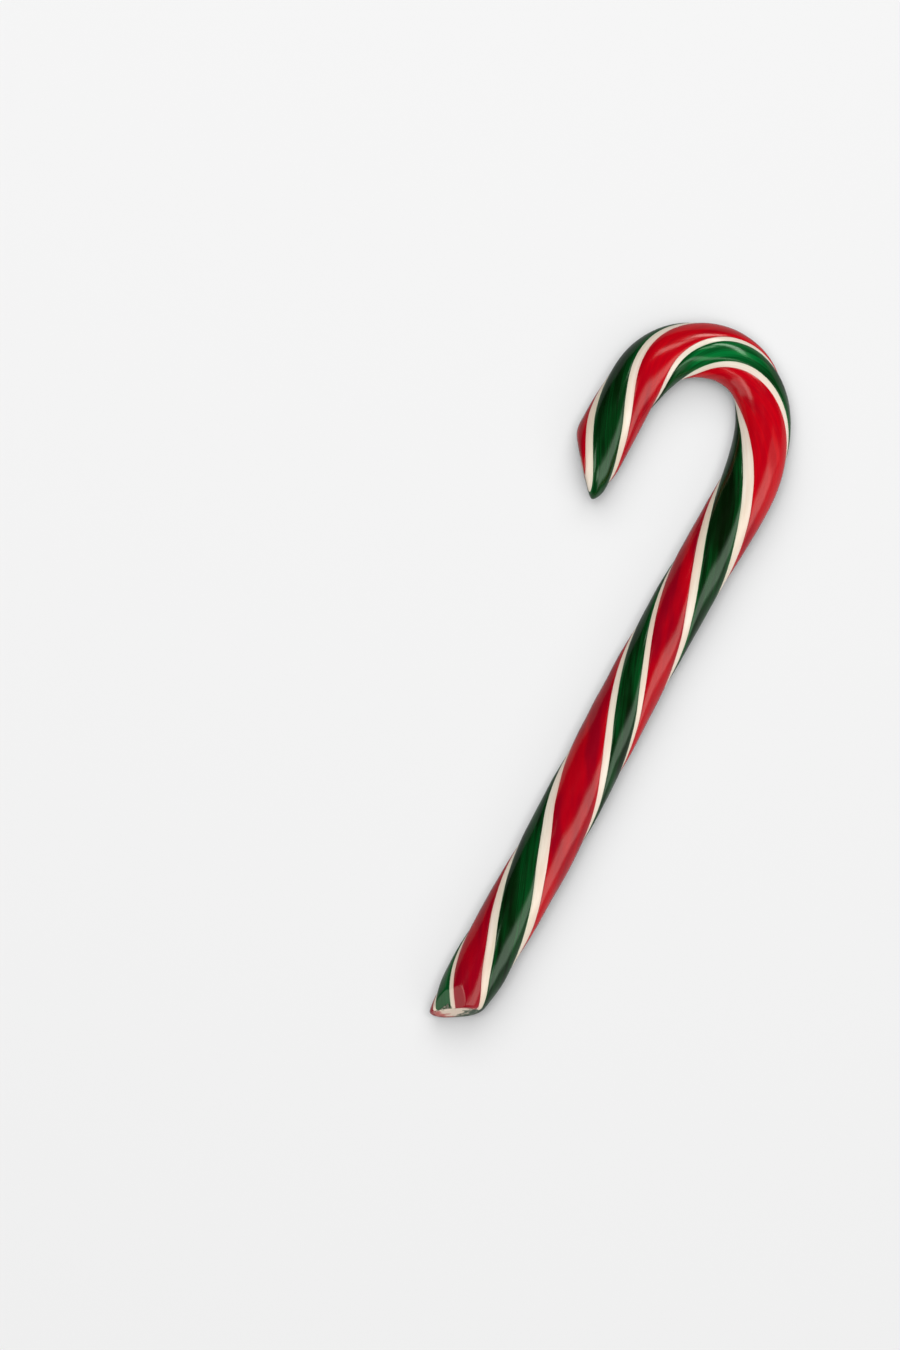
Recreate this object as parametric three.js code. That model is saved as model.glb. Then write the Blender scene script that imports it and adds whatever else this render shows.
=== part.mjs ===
// Candy cane: a hand-pulled stick of white sugar with two red and two green stripes laid into it.
// The warm rope was twisted, bent into a crook and sheared off at both ends.
// Millimetres, +Z up. The cane lies on its side on Z = 0: the shaft runs along +Y and the crook
// turns towards -X. The origin is on the floor, under the middle of the whole cane.

import * as THREE from "three";

const { degToRad, lerp, clamp, smoothstep, euclideanModulo } = THREE.MathUtils;

// Length of the rope, measured along its middle line from the foot to the tip.
const ROPE_LENGTH = 213;

// Radius of the rope: [distance from the foot, radius]. It thins where the crook bends tightest.
const GIRTH = [
  [0, 6.32],
  [50, 6.26],
  [100, 6.14],
  [136, 6.38],
  [159, 5.78],
  [174, 6.1],
  [184, 6.3],
  [196, 6.1],
];

// Slight hand-made wave of the shaft: its heading swings about a mean, in degrees to the left of +Y.
const SWAY = { from: 7.6, to: 121.2, mean: -0.58, swing: 1.32 };

// The crook: [distance from the foot, turn to the left in degrees per millimetre].
// It eases in, runs round a bend of 13 to 16 mm radius and eases out beside the shaft.
const BEND = [
  [122, 0],
  [150, 2.39],
  [161, 4.46],
  [172, 3.54],
  [182, 3.95],
  [189, 1.63],
  [202, 0],
];

// Twist: how fast the stripes turn round the rope, and the extra turn taken up in the crook.
const TWIST_PER_MM = 3.81;
const CROOK_TWIST = { from: 145.7, to: 201.4, turn: 52 };
const FOOT_ANGLE = 49.25; // first edge of the first band at the foot, in degrees right of the top

// Bands round the rope, in degrees. The nameless ones are the white core showing between stripes.
const BANDS = [
  { width: 19.5 },
  { width: 69.25, name: "green_stripe_wide", color: "#06391d" },
  { width: 24 },
  { width: 98.85, name: "red_stripe_wide", color: "#a30712" },
  { width: 16.5 },
  { width: 49.35, name: "green_stripe_narrow", color: "#06391d" },
  { width: 13 },
  { width: 69.55, name: "red_stripe_narrow", color: "#a30712" },
];
const CORE_COLOR = "#f3e8d2";
const SUGAR_ROUGHNESS = 0.24;

const STRIPE_DEPTH = 1.2; // thickness of a stripe
const CROWN = 0.16; // how far the middle of a stripe stands out
const SINK = 0.14; // how far the white between the stripes lies in

// Sheared ends. The cut leans across the rope (slant) and back over its top (lean), in degrees.
// The shears squeeze the end to a share of its girth (pinch) and push it to the right (shift),
// which fades out over a length (squeezed), and they twist it (turn) over another (turned).
// The rows of the mesh swing round from the cut to square over a third (eased).
const FOOT = {
  slant: 31.3,
  lean: 9.5,
  eased: 15,
  pinch: 0.78,
  shift: 0.45,
  squeezed: 14,
  turn: 22,
  turned: 13,
};
const TIP = {
  slant: -49.4,
  lean: 0,
  eased: 20,
  pinch: 0.8,
  shift: 1.15,
  squeezed: 9,
  turn: -14,
  turned: 9,
};

// Facet that the blade pressed on top of the foot. It falls away from a crease through the point
// at along and right, downhill on a bearing in degrees to the left of the way to the foot.
const FACET = { along: 5.2, right: -2.1, height: 5.4, slope: 20, bearing: 22 };

// The cane is pressed flat along its underside, where it cooled on the table.
const FLAT_DEPTH = 0.35;

// Fineness of the mesh.
const BAND_STEP = 16.5; // degrees round the rope between neighbouring lines of vertices
const ROW_STEP = 3; // millimetres between rows on the shaft
const ROW_TURN = 8.6; // most degrees of bend between two rows
const ROW_START = 0.8; // spacing of the first rows at a cut
const ROW_GROWTH = 0.3; // how fast that spacing grows with the distance from the cut
const PATH_STEP = 0.1;
const OVERRUN = 10; // how far the middle line runs on past each end, for the slanted cuts
const CUT_PASSES = 24; // rounds taken to settle a point of a slanted cut on a twisted line
const FULL_TURN = 360;
const SAME_ANGLE = 1e-9; // degrees under which two lines round the rope are the same one

// Value at a distance from the foot of a list of [distance, value], with eased or straight steps.
function valueAt(list, distance, eased) {
  const after = list.findIndex(([from]) => from > distance);
  if (after === 0) return list[0][1];
  if (after === -1) return list[list.length - 1][1];
  const [[from, low], [to, high]] = [list[after - 1], list[after]];
  const share = (distance - from) / (to - from);
  return lerp(low, high, eased ? smoothstep(share, 0, 1) : share);
}

const bendAt = (distance) => valueAt(BEND, distance, false);
const girthAt = (distance) => valueAt(GIRTH, distance, true);

function swayAt(distance) {
  const share = (clamp(distance, SWAY.from, SWAY.to) - SWAY.from) / (SWAY.to - SWAY.from);
  return SWAY.mean - SWAY.swing * Math.cos(2 * Math.PI * share);
}

// Middle line of the rope in plan, walked from just before the foot to just past the tip.
function walkPath() {
  const steps = [];
  let [x, y, turned] = [0, -OVERRUN, 0];
  for (let distance = -OVERRUN; distance <= ROPE_LENGTH + OVERRUN; distance += PATH_STEP) {
    const heading = degToRad(swayAt(distance) + turned);
    steps.push({ x, y, heading });
    x -= Math.sin(heading) * PATH_STEP;
    y += Math.cos(heading) * PATH_STEP;
    turned += bendAt(distance + PATH_STEP / 2) * PATH_STEP;
  }
  return steps;
}

const path = walkPath();

function pathAt(distance) {
  const place = (distance + OVERRUN) / PATH_STEP;
  const step = clamp(Math.floor(place), 0, path.length - 2);
  const [here, next] = [path[step], path[step + 1]];
  return {
    x: lerp(here.x, next.x, place - step),
    y: lerp(here.y, next.y, place - step),
    heading: lerp(here.heading, next.heading, place - step),
  };
}

// Angle of a line of the stripes, in degrees to the right of the top as one looks along the rope.
function angleAt(bandAngle, distance) {
  const { from, to, turn } = CROOK_TWIST;
  const turned = TWIST_PER_MM * distance + turn * smoothstep(distance, from, to);
  return FOOT_ANGLE + euclideanModulo(bandAngle, FULL_TURN) - turned;
}

// Height of the surface over the girth: stripes crown, and the white between them lies in.
function reliefAt(bandAngle) {
  let start = 0;
  for (const { width, name } of BANDS) {
    const share = (euclideanModulo(bandAngle, FULL_TURN) - start) / width;
    if (share < 1) return name ? lerp(CROWN, -SINK, (2 * share - 1) ** 4) : -SINK;
    start += width;
  }
  return -SINK;
}

// Where a point of the section lies: to the right of the middle line, above it, and past its row.
function sectionAt(row, distance, bandAngle, depth) {
  const cuts = [
    { ...FOOT, inside: row },
    { ...TIP, inside: ROPE_LENGTH - row },
  ];
  let angle = angleAt(bandAngle, distance);
  let [scale, shift, past] = [1, 0, 0];
  for (const cut of cuts) {
    const squeezed = clamp(1 - cut.inside / cut.squeezed, 0, 1) ** 2;
    scale -= (1 - cut.pinch) * squeezed;
    shift += cut.shift * squeezed;
    angle += cut.turn * clamp(1 - cut.inside / cut.turned, 0, 1) ** 2;
  }
  const radius = scale * (girthAt(distance) + reliefAt(bandAngle) - depth);
  const right = radius * Math.sin(degToRad(angle)) + shift;
  const above = radius * Math.cos(degToRad(angle));
  for (const { inside, eased, slant, lean } of cuts) {
    const share = 1 - smoothstep(inside, 0, eased);
    past += share * (right * Math.tan(degToRad(slant)) + above * Math.tan(degToRad(lean)));
  }
  return { right, above, past };
}

// Height above the middle line of the facet on the foot.
function facetAt(distance, right) {
  const bearing = degToRad(FACET.bearing);
  const uphill =
    (distance - FACET.along) * Math.cos(bearing) + (right - FACET.right) * Math.sin(bearing);
  return FACET.height + uphill * Math.tan(degToRad(FACET.slope));
}

// Point of the cane at a row, on a line of the stripes, and at a depth under the surface.
function pointAt(row, bandAngle, depth) {
  let distance = row;
  for (let pass = 0; pass < CUT_PASSES; pass++) {
    distance = row + sectionAt(row, distance, bandAngle, depth).past;
  }
  const { right, above } = sectionAt(row, distance, bandAngle, depth);
  const { x, y, heading } = pathAt(distance);
  const axisHeight = girthAt(distance) - SINK - FLAT_DEPTH;
  return new THREE.Vector3(
    x + right * Math.cos(heading),
    y + right * Math.sin(heading),
    Math.max(axisHeight + Math.min(above, facetAt(distance, right)), 0),
  );
}

// Rows of vertices along the rope, closer in the crook and at the cuts.
function rowPlaces() {
  const rows = [0];
  const end = ROPE_LENGTH;
  while (rows.at(-1) < end) {
    const row = rows.at(-1);
    const fromCut = Math.min(row, end - row);
    const bend = Math.max(bendAt(row), bendAt(row + ROW_STEP));
    rows.push(row + Math.min(ROW_STEP, ROW_TURN / bend, ROW_START + ROW_GROWTH * fromCut));
  }
  return rows.map((row) => (row * end) / rows.at(-1));
}

// Angles of the lines of vertices across one band, both edges included.
function bandLines(start, width) {
  const count = Math.max(1, Math.round(width / BAND_STEP));
  return Array.from({ length: count + 1 }, (_, line) => start + (width * line) / count);
}

// Sections as closed loops of { bandAngle, depth }: the core with its grooves, and each stripe.
function buildSections() {
  const core = [];
  const stripes = [];
  let start = 0;
  for (const band of BANDS) {
    const lines = bandLines(start, band.width);
    const top = lines.map((bandAngle) => ({ bandAngle, depth: 0 }));
    const floor = lines.map((bandAngle) => ({ bandAngle, depth: STRIPE_DEPTH }));
    if (band.name) {
      core.push(...floor);
      stripes.push({ ...band, section: [...top, ...floor.toReversed()] });
    } else {
      core.push(...top);
    }
    start += band.width;
  }
  return { core, stripes };
}

// Whether one point of a section comes before the next, going round the rope and then inwards.
// Both solids on a shared wall ask this, so both split its faces along the same diagonal.
function comesFirst(one, next) {
  const half = FULL_TURN / 2;
  const round = euclideanModulo(next.bandAngle - one.bandAngle + half, FULL_TURN) - half;
  return Math.abs(round) > SAME_ANGLE ? round > 0 : next.depth > one.depth;
}

// Closed solid that carries a section along the rope from cut to cut.
function sweepSection(section) {
  const rows = rowPlaces();
  const count = section.length;
  const points = rows.flatMap((row) =>
    section.map(({ bandAngle, depth }) => pointAt(row, bandAngle, depth)),
  );
  const faces = [];
  for (let row = 0; row < rows.length - 1; row++) {
    for (let edge = 0; edge < count; edge++) {
      const after = (edge + 1) % count;
      const [a, b] = [row * count + edge, row * count + after];
      const [c, d] = [b + count, a + count];
      const straight = comesFirst(section[edge], section[after]);
      faces.push(...(straight ? [a, b, c, a, c, d] : [a, b, d, b, c, d]));
    }
  }
  for (const [first, row, facesTip] of [
    [0, 0, false],
    [points.length - count, ROPE_LENGTH, true],
  ]) {
    const outline = section.map(({ bandAngle, depth }) => {
      const { right, above } = sectionAt(row, row, bandAngle, depth);
      return new THREE.Vector2(above, right);
    });
    for (const [a, b, c] of THREE.ShapeUtils.triangulateShape(outline, [])) {
      faces.push(...(facesTip ? [a, b, c] : [c, b, a]).map((corner) => first + corner));
    }
  }
  return new THREE.BufferGeometry().setFromPoints(points).setIndex(faces);
}

function makeMesh(name, color, section) {
  const geometry = sweepSection(section);
  geometry.computeVertexNormals();
  const material = new THREE.MeshStandardMaterial({ color, roughness: SUGAR_ROUGHNESS, metalness: 0 });
  const mesh = new THREE.Mesh(geometry, material);
  mesh.name = name;
  return mesh;
}

const { core, stripes } = buildSections();
const cane = new THREE.Group();
cane.add(makeMesh("white_core", CORE_COLOR, core));
for (const { name, color, section } of stripes) cane.add(makeMesh(name, color, section));

// The origin goes under the middle of the whole cane.
const middle = new THREE.Box3().setFromObject(cane).getCenter(new THREE.Vector3());
for (const mesh of cane.children) mesh.geometry.translate(-middle.x, -middle.y, 0);

export default cane;
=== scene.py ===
"""Looks of a hand-pulled candy cane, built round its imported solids.

The cane is a twisted rope of white sugar with two red and two green stripes laid into it. Each of
these five lengths of sugar is one closed mesh, swept by a Geometry Nodes tree: a loop of points
round the length's section is carried from cut to cut along the middle line of the rope, twisted,
pinched where the rope was sheared off, and pressed flat where it lies on the table.

Lengths are in millimetres until the tree scales a finished mesh to metres. Angles are in degrees.
"""

from __future__ import annotations

import logging
import math
from dataclasses import dataclass, field, fields
from enum import Enum

import bpy
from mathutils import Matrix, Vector

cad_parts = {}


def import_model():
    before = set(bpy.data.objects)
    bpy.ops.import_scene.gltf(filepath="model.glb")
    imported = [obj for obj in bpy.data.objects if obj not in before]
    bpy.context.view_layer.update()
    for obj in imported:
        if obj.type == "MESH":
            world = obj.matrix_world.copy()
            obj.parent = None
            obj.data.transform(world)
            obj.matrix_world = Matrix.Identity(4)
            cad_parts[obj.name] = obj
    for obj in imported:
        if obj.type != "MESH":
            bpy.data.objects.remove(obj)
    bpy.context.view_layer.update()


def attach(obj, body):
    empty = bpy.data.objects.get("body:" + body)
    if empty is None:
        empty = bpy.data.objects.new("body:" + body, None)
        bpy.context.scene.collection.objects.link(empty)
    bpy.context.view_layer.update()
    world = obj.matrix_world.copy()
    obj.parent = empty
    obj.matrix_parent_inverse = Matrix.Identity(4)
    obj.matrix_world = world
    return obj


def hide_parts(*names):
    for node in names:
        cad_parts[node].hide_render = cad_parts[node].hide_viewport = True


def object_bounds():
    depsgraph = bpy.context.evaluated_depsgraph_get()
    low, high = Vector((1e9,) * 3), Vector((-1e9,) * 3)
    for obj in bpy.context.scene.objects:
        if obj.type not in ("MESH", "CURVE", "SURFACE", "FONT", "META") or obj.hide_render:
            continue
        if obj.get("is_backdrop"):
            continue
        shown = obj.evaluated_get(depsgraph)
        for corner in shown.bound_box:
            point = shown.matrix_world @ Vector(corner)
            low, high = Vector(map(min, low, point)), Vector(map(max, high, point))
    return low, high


LOG = logging.getLogger("candy_cane")

MM = 0.001
BODY = "root"
CORE = "white_core"

Steps = tuple[tuple[float, float], ...]
Colour = tuple[float, float, float]


def smooth_share(value: float, start: float, end: float) -> float:
    """Gives how far a value is from start to end, eased at both ends.

    Args:
        value: The value.
        start: Where the share is 0.
        end: Where the share is 1.

    Returns:
        The share, from 0 to 1.
    """
    share = min(max((value - start) / (end - start), 0.0), 1.0)
    return share * share * (3.0 - 2.0 * share)


def step_value(steps: Steps, place: float, eased: bool) -> float:
    """Reads a list of (place, value) between its entries.

    Args:
        steps: The entries, in order of place.
        place: Where to read.
        eased: Whether the value eases from entry to entry, or runs straight.

    Returns:
        The value there.
    """
    if place <= steps[0][0]:
        return steps[0][1]
    for (start, low), (end, high) in zip(steps, steps[1:]):
        if place < end:
            straight = (place - start) / (end - start)
            share = smooth_share(place, start, end) if eased else straight
            return low + (high - low) * share
    return steps[-1][1]


# --- Sizes of the cane -------------------------------------------------------------------------


@dataclass(frozen=True)
class Rope:
    """The rope of sugar: its middle line, girth and twist, by distance from the foot."""

    length: float = 212.7
    girth: Steps = (
        (0, 6.32),
        (50, 6.26),
        (100, 6.14),
        (136, 6.38),
        (159, 5.78),
        (174, 6.1),
        (184, 6.3),
        (196, 6.1),
    )
    bend: Steps = (  # degrees of turn to the left per millimetre
        (122, 0),
        (150, 2.39),
        (161, 4.46),
        (172, 3.54),
        (182, 3.95),
        (189, 1.63),
        (202, 0),
    )
    sway_from: float = 7.6
    sway_to: float = 121.2
    sway_mean: float = -0.58
    sway_swing: float = 1.32
    twist_per_mm: float = 3.81
    crook_twist_from: float = 145.7
    crook_twist_to: float = 201.4
    crook_twist: float = 52.0
    foot_angle: float = 49.25
    step: float = 0.1
    overrun: float = 10.0  # how far the middle line goes on past both cuts

    def heading_at(self, distance: float) -> float:
        """Gives the heading of the shaft, which sways a little before the crook.

        Args:
            distance: The distance from the foot.

        Returns:
            The heading, in degrees left of +Y.
        """
        inside = min(max(distance, self.sway_from), self.sway_to)
        share = (inside - self.sway_from) / (self.sway_to - self.sway_from)
        return self.sway_mean - self.sway_swing * math.cos(math.tau * share)

    def twist_at(self, distance: float) -> float:
        """Gives the angle of the first band's edge at a distance, in degrees right of the top."""
        share = smooth_share(distance, self.crook_twist_from, self.crook_twist_to)
        return self.foot_angle - self.twist_per_mm * distance - self.crook_twist * share

    def middle_line(self) -> bpy.types.Object:
        """Walks the middle line from just before the foot to just past the tip.

        Returns:
            A flat curve whose radius is the girth and whose tilt is the twist.
        """
        count = round((self.length + 2 * self.overrun) / self.step) + 1
        curve = bpy.data.curves.new("middle_line", "CURVE")
        curve.dimensions = "3D"
        spline = curve.splines.new("POLY")
        spline.points.add(count - 1)
        x, y, turned = 0.0, -self.overrun, 0.0
        for number, point in enumerate(spline.points):
            distance = number * self.step - self.overrun
            heading = math.radians(self.heading_at(distance) + turned)
            point.co = (x, y, 0.0, 1.0)
            point.radius = step_value(self.girth, distance, eased=True)
            point.tilt = math.radians(self.twist_at(distance))
            x -= math.sin(heading) * self.step
            y += math.cos(heading) * self.step
            turned += step_value(self.bend, distance + self.step / 2, eased=False) * self.step
        line = bpy.data.objects.new("middle_line", curve)
        bpy.context.scene.collection.objects.link(line)
        return line


@dataclass(frozen=True)
class ShearedEnd:
    """A cut across the rope: how it leans, and how the shears squeezed and twisted the end.

    Each of eased, squeezed, turned and blunted is the distance from the cut where that starts.
    """

    slant: float  # turn of the cut to the side
    lean: float  # how far the cut faces up, or down where it is less than 0
    dome: float  # how far the middle of the cut stands out
    rim: float  # how far the edge of the cut is rounded
    blunt: float  # how much thinner the whole end gets
    blunted: float
    eased: float
    pinch: float  # share of its width that the end keeps
    press: float  # share of its height that the end keeps
    shift: float  # how far the end is pushed to the side
    squeezed: float
    turn: float  # how far the bands are turned on
    turned: float
    spread: float  # how far the bands are pressed apart, towards the sides


@dataclass(frozen=True)
class Facet:
    """Flat that the blade pressed on top of the foot."""

    along: float = 5.2  # distance of its middle from the foot
    right: float = -2.3
    height: float = 5.6
    slope: float = 30.0
    bearing: float = 42.0  # direction in which it rises, from along the rope towards the right
    softness: float = 0.25


FOOT = ShearedEnd(
    slant=31.3,
    lean=15.0,
    dome=0.4,
    rim=0.6,
    blunt=0.0,
    blunted=2.0,
    eased=15.0,
    pinch=0.78,
    press=0.92,
    shift=0.45,
    squeezed=14.0,
    turn=16.5,
    turned=13.0,
    spread=0.0,
)
TIP = ShearedEnd(
    slant=-49.4,
    lean=0.0,
    dome=0.4,
    rim=0.6,
    blunt=0.8,
    blunted=2.8,
    eased=20.0,
    pinch=0.83,
    press=0.83,
    shift=1.1,
    squeezed=9.0,
    turn=-38.0,
    turned=10.0,
    spread=15.0,
)


@dataclass(frozen=True)
class Relief:
    """Depths of the surface, and how finely it is divided."""

    stripe_depth: float = 1.2
    crown: float = 0.16  # how far the middle of a stripe stands out
    sink: float = 0.14  # how far the white bands lie in
    bulge: int = 4  # the greater, the flatter the top of a stripe
    flat_depth: float = 0.35  # how much the table pressed off the underside
    flat_softness: float = 0.2
    unevenness: float = 0.2  # of the girth
    wander: float = 3.0  # of the bands' edges, in degrees
    chatter: float = 0.5  # roughness of the cuts
    corner: float = 0.12  # radius of a band's rounded edge
    nominal_radius: float = 6.2
    shown_step: float = 2.3  # greatest angle between points of the surface
    hidden_step: float = 9.0  # the same under the stripes
    corner_steps: int = 3
    row_step: float = 0.36
    rim_rows: int = 6
    cap_rows: int = 12


class Sugar(Enum):
    """The three sugars, by the record's material slot."""

    WHITE = "white_sugar"
    RED = "red_sugar"
    GREEN = "green_sugar"


@dataclass(frozen=True)
class Band:
    """One band of colour round the rope. White bands belong to the core."""

    width: float
    sugar: Sugar
    node: str = CORE


BANDS = (
    Band(19.5, Sugar.WHITE),
    Band(69.25, Sugar.GREEN, "green_stripe_wide"),
    Band(24.0, Sugar.WHITE),
    Band(98.85, Sugar.RED, "red_stripe_wide"),
    Band(16.5, Sugar.WHITE),
    Band(49.35, Sugar.GREEN, "green_stripe_narrow"),
    Band(13.0, Sugar.WHITE),
    Band(69.55, Sugar.RED, "red_stripe_narrow"),
)


# --- Node trees ----------------------------------------------------------------------------------


class Term:
    """A number or vector on its way through a node tree, with the signs of arithmetic."""

    def __init__(self, graph: Graph, socket: bpy.types.NodeSocket) -> None:
        """Keeps the socket that the value comes out of."""
        self.graph = graph
        self.socket = socket

    def __add__(self, other: Value) -> Term:
        """Adds a Math node."""
        return self.graph.math("ADD", self, other)

    def __radd__(self, other: Value) -> Term:
        """Adds a Math node."""
        return self.graph.math("ADD", other, self)

    def __sub__(self, other: Value) -> Term:
        """Adds a Math node that subtracts."""
        return self.graph.math("SUBTRACT", self, other)

    def __rsub__(self, other: Value) -> Term:
        """Adds a Math node that subtracts from a number."""
        return self.graph.math("SUBTRACT", other, self)

    def __mul__(self, other: Value) -> Term:
        """Adds a Math node that multiplies."""
        return self.graph.math("MULTIPLY", self, other)

    def __rmul__(self, other: Value) -> Term:
        """Adds a Math node that multiplies."""
        return self.graph.math("MULTIPLY", other, self)

    def __truediv__(self, other: Value) -> Term:
        """Adds a Math node that divides."""
        return self.graph.math("DIVIDE", self, other)


Value = Term | float | int | str | bool | tuple


class Graph:
    """Adds nodes to one tree and links them."""

    def __init__(self, tree: bpy.types.NodeTree) -> None:
        """Keeps the tree that nodes are added to.

        Args:
            tree: The tree.
        """
        self.tree = tree
        self.inlet: bpy.types.Node | None = None
        self.outlet: bpy.types.Node | None = None

    @classmethod
    def group(cls, name: str, kind: str = "ShaderNodeTree") -> Graph:
        """Starts a node group.

        Args:
            name: The group's name.
            kind: Its Blender type.

        Returns:
            The graph of the empty group.
        """
        return cls(bpy.data.node_groups.new(name, kind))

    def ask(self, name: str, kind: str, default: Value | None = None) -> None:
        """Gives the tree an input.

        Args:
            name: The input's name.
            kind: Its socket type.
            default: Its value where none is set.
        """
        socket = self.tree.interface.new_socket(name, in_out="INPUT", socket_type=kind)
        if default is not None:
            socket.default_value = default

    def offer(self, name: str, kind: str) -> None:
        """Gives the tree an output of a socket type."""
        self.tree.interface.new_socket(name, in_out="OUTPUT", socket_type=kind)

    def given(self, name: str) -> Term:
        """Gives the value of one of the tree's inputs.

        Args:
            name: The input's name.

        Returns:
            Its value.
        """
        if self.inlet is None:
            self.inlet = self.tree.nodes.new("NodeGroupInput")
        return Term(self, self.inlet.outputs[name])

    def give(self, name: str, value: Term) -> None:
        """Links a value to one of the tree's outputs.

        Args:
            name: The output's name.
            value: What it gives.
        """
        if self.outlet is None:
            self.outlet = self.tree.nodes.new("NodeGroupOutput")
        self.tree.links.new(value.socket, self.outlet.inputs[name])

    def add(
        self, kind: str, sockets: dict[str | int, Value] | None = None, **settings: object
    ) -> Node:
        """Adds a node.

        Args:
            kind: The node's Blender type.
            sockets: What goes into its sockets, by name or number.
            settings: The node's own properties.

        Returns:
            The node.
        """
        node = self.tree.nodes.new(kind)
        for name, value in settings.items():
            setattr(node, name, value)
        for key, value in (sockets or {}).items():
            self.feed(node, key, value)
        return Node(self, node)

    def feed(self, node: bpy.types.Node, key: str | int, value: Value) -> None:
        """Puts a value or a link into one socket of a node.

        Args:
            node: The node.
            key: The socket's name, or its number where names repeat.
            value: A term to link, or a plain value.
        """
        if isinstance(key, int):
            socket = node.inputs[key]
        else:
            socket = next(s for s in node.inputs if s.name == key and s.enabled)
        if isinstance(value, Term):
            self.tree.links.new(value.socket, socket)
        else:
            socket.default_value = value

    def math(self, operation: str, *values: Value) -> Term:
        """Adds a Math node of an operation on one to three numbers, and gives its result."""
        return self.add("ShaderNodeMath", dict(enumerate(values)), operation=operation)["Value"]

    def vector_math(self, operation: str, *values: Value) -> Term:
        """Adds a Vector Math node on one or two vectors, and gives the vector."""
        node = self.add("ShaderNodeVectorMath", dict(enumerate(values)), operation=operation)
        return node["Vector"]

    def vector(self, x: Value, y: Value, z: Value) -> Term:
        """Joins three numbers into a vector."""
        return self.add("ShaderNodeCombineXYZ", {"X": x, "Y": y, "Z": z})["Vector"]

    def scaled(self, vector: Value, factor: Value) -> Term:
        """Scales a vector by a number."""
        sockets = {"Vector": vector, "Scale": factor}
        return self.add("ShaderNodeVectorMath", sockets, operation="SCALE")["Vector"]

    def share(self, value: Value, start: Value, end: Value, easing: str = "LINEAR") -> Term:
        """Gives how far a value is from start to end.

        Args:
            value: The value.
            start: Where the share is 0.
            end: Where the share is 1.
            easing: LINEAR, or SMOOTHSTEP to ease it at both ends.

        Returns:
            The share, from 0 to 1.
        """
        sockets = {"Value": value, "From Min": start, "From Max": end}
        return self.add("ShaderNodeMapRange", sockets, interpolation_type=easing)["Result"]

    def at_least(self, lowest: float, share: Term) -> Term:
        """Squeezes a share, so that it runs from the lowest value to 1."""
        return lowest + (1.0 - lowest) * share

    def place(self, group: Graph, **sockets: Value) -> Node:
        """Places a finished shader node group in this tree.

        Args:
            group: The group.
            sockets: What goes into its inputs, by name.

        Returns:
            The group's node.
        """
        named = {name.replace("_", " ").title(): value for name, value in sockets.items()}
        return self.add("ShaderNodeGroup", named, node_tree=group.tree)

    def read(self, name: str) -> Term:
        """Reads a named number of the mesh in a shader tree."""
        return self.add("ShaderNodeAttribute", attribute_name=name)["Fac"]

    def noise(self, place: Value, detail: float, roughness: float = 0.5, warp: float = 0.0) -> Term:
        """Adds a Noise Texture.

        Args:
            place: Where to read it, already scaled.
            detail: How many finer layers it has.
            roughness: How strong they are.
            warp: How far it is distorted.

        Returns:
            Its value, which keeps round 0.5.
        """
        sockets = {
            "Vector": place,
            "Scale": 1.0,
            "Detail": detail,
            "Roughness": roughness,
            "Distortion": warp,
        }
        return self.add("ShaderNodeTexNoise", sockets, noise_dimensions="3D")["Fac"]

    def mix(self, share: Value, first: Value, second: Value, blend: str = "MIX") -> Term:
        """Mixes two colours.

        Args:
            share: How much of the second there is.
            first: The first colour.
            second: The second colour.
            blend: How the second is laid on the first.

        Returns:
            The colour.
        """
        pair = [value if isinstance(value, Term) else (*value, 1.0) for value in (first, second)]
        sockets = {"Factor": share, "A": pair[0], "B": pair[1]}
        return self.add("ShaderNodeMix", sockets, data_type="RGBA", blend_type=blend)["Result"]


class Node:
    """A node just added, whose outputs are read by name."""

    def __init__(self, graph: Graph, node: bpy.types.Node) -> None:
        """Keeps the node and its graph."""
        self.graph = graph
        self.node = node

    def __getitem__(self, name: str) -> Term:
        """Gives the output of a name."""
        return Term(self.graph, next(s for s in self.node.outputs if s.name == name and s.enabled))


SECTION_NUMBERS = ("band_angle", "rise", "skin", "closing", "edge", "red_edge", "green_edge")
ROW_NUMBERS = ("row", "fold")
ROPE_SIZES = (
    "Rope Length",
    "Overrun",
    "Nominal Radius",
    "Sink",
    "Flat Depth",
    "Flat Softness",
    "Unevenness",
    "Wander",
    "Chatter",
)
CUT_PASSES = 24  # rounds in which the points of a slanted cut find their distance
MERGE_DISTANCE = 2e-7  # metres between points that are one, where the loop meets itself
HAND_ALONG = 0.085  # how often the hands' unevenness changes, per millimetre of rope
TORN_SCALE = 0.55  # the same for the torn faces of the cuts
TORN_FOLD = 0.1  # fold at which the cut face is torn in full
UP = (0.0, 0.0, 1.0)


@dataclass
class Squeeze:
    """What the shears did to a point of the section near the ends."""

    angle: Term  # from the top, in radians
    wide: Value = 1.0
    high: Value = 1.0
    shift: Value = 0.0
    rim_loss: Value = 0.0
    blunt: Value = 0.0


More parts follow.
